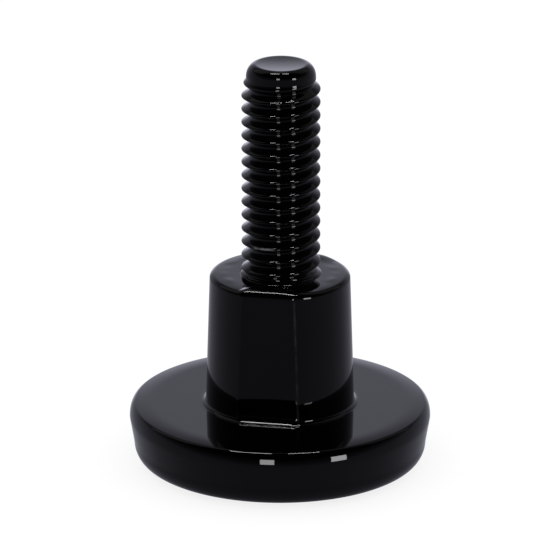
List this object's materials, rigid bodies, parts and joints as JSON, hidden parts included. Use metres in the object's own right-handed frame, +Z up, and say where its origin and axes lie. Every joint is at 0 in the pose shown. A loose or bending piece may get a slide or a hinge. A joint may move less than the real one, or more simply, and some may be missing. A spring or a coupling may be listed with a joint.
{
  "type": "furniture leveling foot",
  "caption": "Rigid threaded leveling foot: a black-coated stud cast into a boss with wrench flats on a round disc, with a non-marking pad underneath.",
  "frame": {"origin": "centre of the pad's underside, on the floor", "axes": "+Z up along the stud's axis; the two wrench flats face -Y and +Y"},
  "size_m": [0.0306, 0.0306, 0.0426],
  "materials": {
    "stud_coat": "gloss black coat over a rolled steel thread",
    "foot_coat": "gloss black coat over a smooth metal casting",
    "pad_nylon": "fine-textured dark nylon"
  },
  "bodies": {
    "root": {"threaded_stud": "stud_coat", "foot_body": "foot_coat", "floor_pad": "pad_nylon"}
  },
  "joints": []
}
